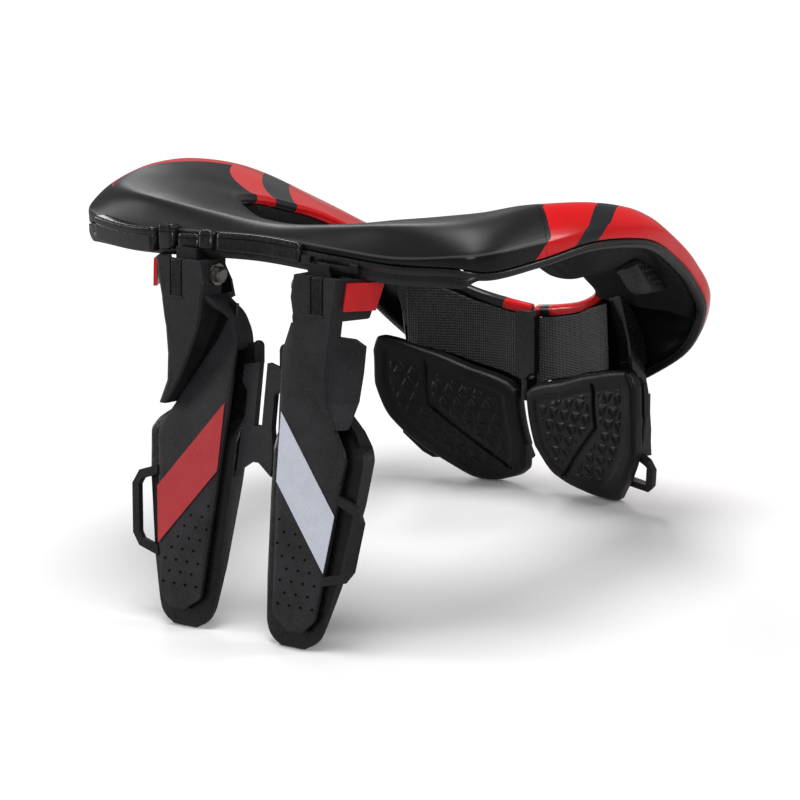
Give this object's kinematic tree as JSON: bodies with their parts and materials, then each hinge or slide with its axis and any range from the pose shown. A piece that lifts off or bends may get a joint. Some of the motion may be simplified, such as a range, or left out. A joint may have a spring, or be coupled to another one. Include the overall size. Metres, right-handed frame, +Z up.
{
  "type": "motocross neck brace",
  "caption": "Stiff padded collar that stands on the shoulders, with struts and fins down the back and padded plates on the chest.",
  "frame": {"origin": "centre of the bounding box's underside, on the surface that the fins and chest pads stand on", "axes": "+X to the wearer's right, +Y to the wearer's front, +Z up as the brace stands"},
  "size_m": [0.2836, 0.2666, 0.2058],
  "materials": {
    "satin_black": "satin moulded shell with a fine texture",
    "gloss_red": "gloss painted moulded shell",
    "rubber_trim": "soft matte rubber",
    "foam": "moulded closed-cell foam",
    "pad_foam": "moulded closed-cell foam with a skin",
    "nylon": "fine spark texture of moulded nylon",
    "mesh_fabric": "woven spacer mesh",
    "steel": "zinc plated"
  },
  "bodies": {
    "root": {"collar_rear_shell": "satin_black", "collar_arm_shell_right": "gloss_red", "collar_arm_shell_left": "gloss_red", "collar_edge_rim_right": "rubber_trim", "collar_edge_rim_left": "rubber_trim", "shoulder_foam_right": "foam", "shoulder_foam_left": "foam", "shoulder_wedge_right": "rubber_trim", "shoulder_wedge_left": "rubber_trim", "mesh_panel_right": "mesh_fabric", "mesh_panel_left": "mesh_fabric", "front_clasp": "nylon", "chest_strut_right": "nylon", "chest_strut_left": "nylon", "chest_pad_right": "pad_foam", "chest_pad_left": "pad_foam", "pad_carrier_right": "nylon", "pad_carrier_left": "nylon", "chest_strap_loop_right": "nylon", "chest_strap_loop_left": "nylon", "rear_chassis": "nylon", "rear_clip_inner_right": "nylon", "rear_clip_inner_left": "nylon", "rear_clip_outer_right": "nylon", "rear_clip_outer_left": "nylon", "strut_arm_right": "nylon", "strut_arm_left": "nylon", "strut_bolt_right": "steel", "strut_bolt_left": "steel", "angle_wedge_right": "gloss_red", "angle_wedge_left": "gloss_red", "fin_right": "nylon", "fin_left": "nylon", "fin_backing_right": "rubber_trim", "fin_backing_left": "rubber_trim", "fin_strap_loop_right": "nylon", "fin_strap_loop_left": "nylon", "fin_bridge": "nylon", "strap_peg_right": "nylon", "strap_peg_left": "nylon"}
  },
  "joints": []
}
